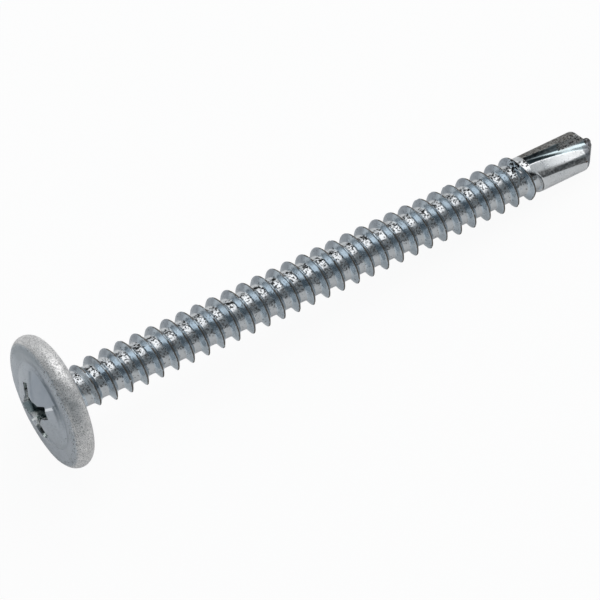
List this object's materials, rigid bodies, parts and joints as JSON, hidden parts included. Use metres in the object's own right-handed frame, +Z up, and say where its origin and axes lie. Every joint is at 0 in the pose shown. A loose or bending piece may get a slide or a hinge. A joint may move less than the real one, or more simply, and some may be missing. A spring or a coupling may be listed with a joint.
{
  "type": "self drilling screw",
  "caption": "Self drilling screw with a wide round head, a cross recess, a full helical thread and a forged two-flute drill point, lying on its side.",
  "frame": {"origin": "on the surface that the screw lies on, under the middle of its bounding box", "axes": "+X runs from the head to the drill point, +Z up; the screw's own axis dips 4.6 degrees towards the point, because it rests on the rim of its head and on the two edges of the lower flute"},
  "size_m": [0.0528, 0.0112, 0.0112],
  "materials": {
    "zinc_plate": "zinc plated steel, satin with a rough speckled rim"
  },
  "bodies": {
    "root": {"screw": "zinc_plate"}
  },
  "joints": []
}
